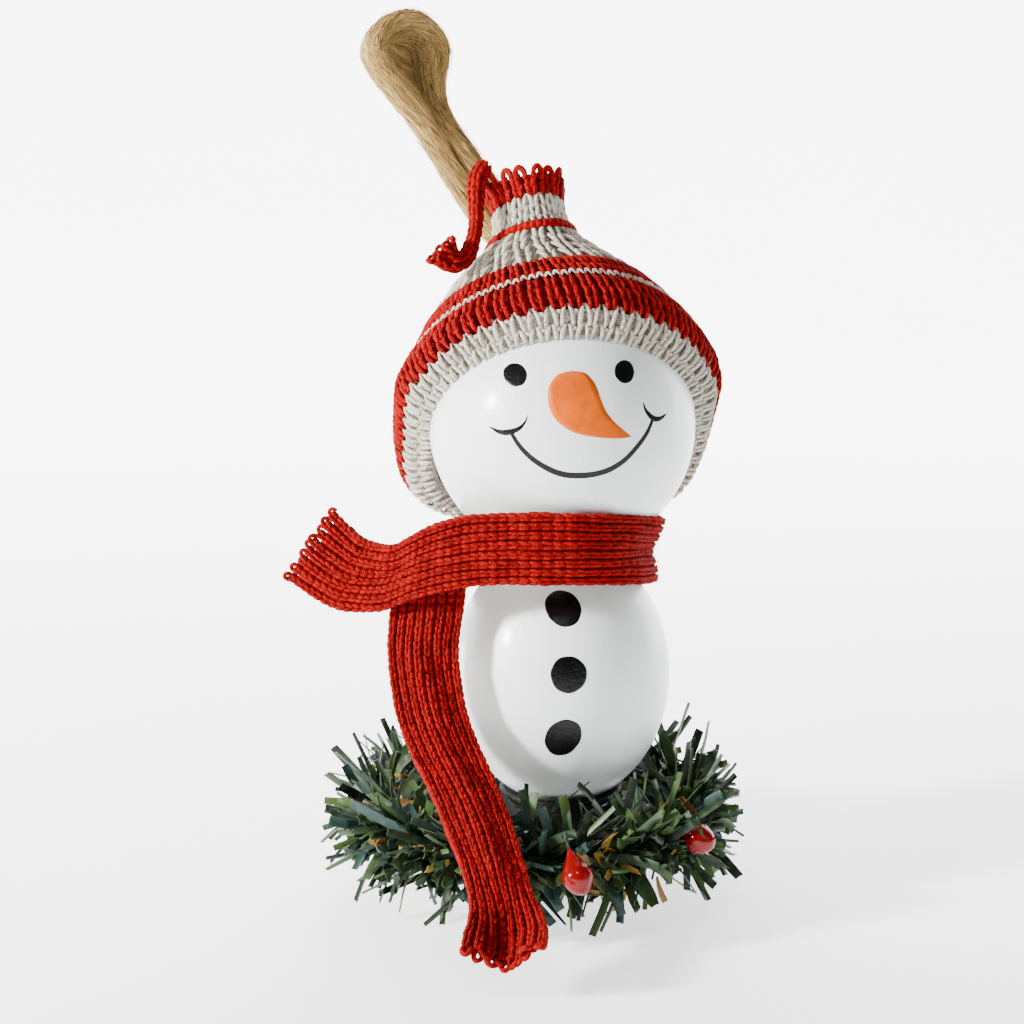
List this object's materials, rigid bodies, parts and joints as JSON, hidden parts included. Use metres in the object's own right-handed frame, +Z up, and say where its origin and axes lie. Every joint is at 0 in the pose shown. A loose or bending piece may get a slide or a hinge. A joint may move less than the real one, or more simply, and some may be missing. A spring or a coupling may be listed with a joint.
{
  "type": "wooden snowman figure",
  "caption": "Standing snowman of two painted wooden balls with a knitted striped hat, a red knitted scarf, a jute hanging loop and a ring of artificial fir garland at its foot.",
  "frame": {"origin": "middle of the foot's flat underside, on the axis of the two balls", "axes": "+Z up the axis of the balls, the buttons and the front look towards -Y, +X is to the viewer's right"},
  "size_m": [0.1127, 0.1302, 0.2107],
  "materials": {
    "white_paint": "white satin lacquer on a turned wooden ball",
    "black_paint": "black semi-gloss paint",
    "bare_wood": "plain turned beech",
    "striped_knit": "rib-knitted acrylic yarn, red and cream stripes",
    "red_knit": "rib-knitted red acrylic yarn",
    "jute": "soft laid jute with loose fibres",
    "fir_strips": "cut plastic strip needles in several greens with a few ochre ones",
    "berry_red": "glossy red varnish",
    "green_wire": "dark green painted wire"
  },
  "bodies": {
    "base": {"foot": "black_paint", "body_ball": "white_paint", "neck_dowel": "bare_wood", "scarf": "red_knit", "wreath_wire": "green_wire", "garland_01": "fir_strips", "garland_02": "fir_strips", "garland_03": "fir_strips", "garland_04": "fir_strips", "garland_05": "fir_strips", "garland_06": "fir_strips", "garland_07": "fir_strips", "garland_08": "fir_strips", "garland_09": "fir_strips", "garland_10": "fir_strips", "berry_1": "berry_red", "berry_2": "berry_red", "berry_3": "berry_red", "berry_4": "berry_red", "berry_5": "berry_red", "berry_stem_1": "green_wire", "berry_stem_2": "green_wire", "berry_stem_3": "green_wire", "berry_stem_4": "green_wire", "berry_stem_5": "green_wire"},
    "head": {"head_ball": "white_paint", "hat": "striped_knit", "hat_tie": "red_knit", "jute_loop": "jute"}
  },
  "joints": [
    {"name": "head_turn", "type": "hinge", "parent": "base", "child": "head", "pos_m": [0, 0, 0.0822], "axis": [0, 0, 1], "range_deg": [-40, 40]}
  ]
}
